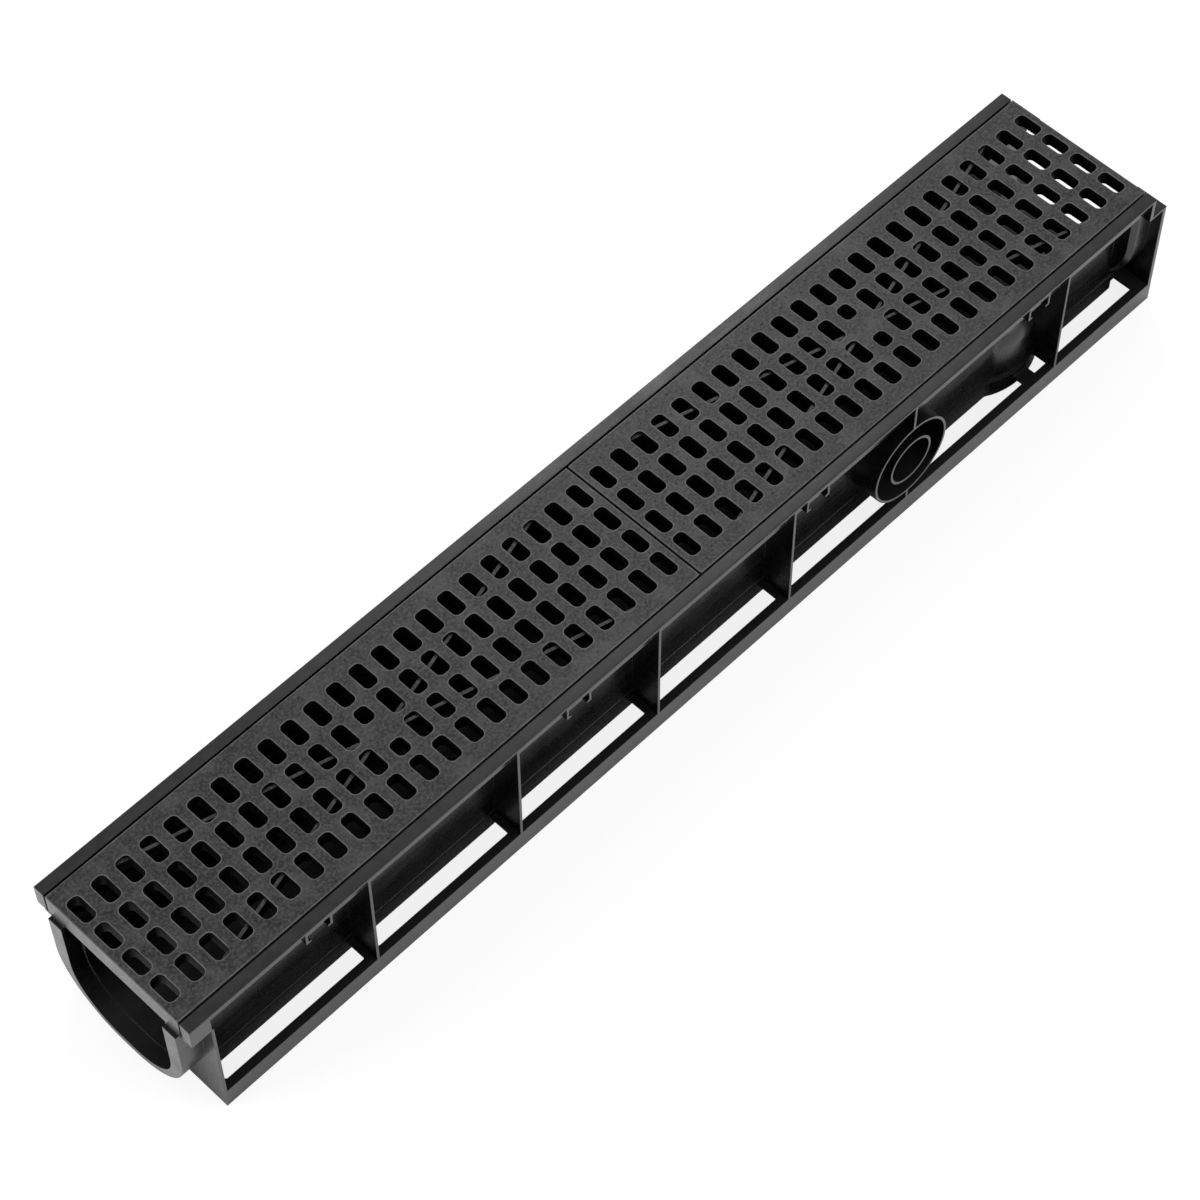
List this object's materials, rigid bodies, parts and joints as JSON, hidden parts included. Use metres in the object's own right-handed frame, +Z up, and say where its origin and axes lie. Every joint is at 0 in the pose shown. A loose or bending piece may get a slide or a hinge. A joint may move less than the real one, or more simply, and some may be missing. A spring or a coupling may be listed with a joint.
{
  "type": "channel drain",
  "caption": "Straight drainage channel with a round-bottomed trough, finned sides, a tongue and a socket at its ends, and slotted grates that lift out.",
  "frame": {"origin": "bottom centre of the whole part: middle of its length and width, on the plane its foot rails stand on", "axes": "+X along the channel from the tongue end to the socket end, +Y across it, +Z up through the grates"},
  "size_m": [1.0196, 0.158, 0.135],
  "materials": {
    "channel_plastic": "black moulded polypropylene, satin",
    "grate_plastic": "black moulded reinforced plastic, dull and finely pimpled"
  },
  "bodies": {
    "root": {"channel_body": "channel_plastic", "grate_near": "grate_plastic", "grate_far": "grate_plastic"}
  },
  "joints": []
}
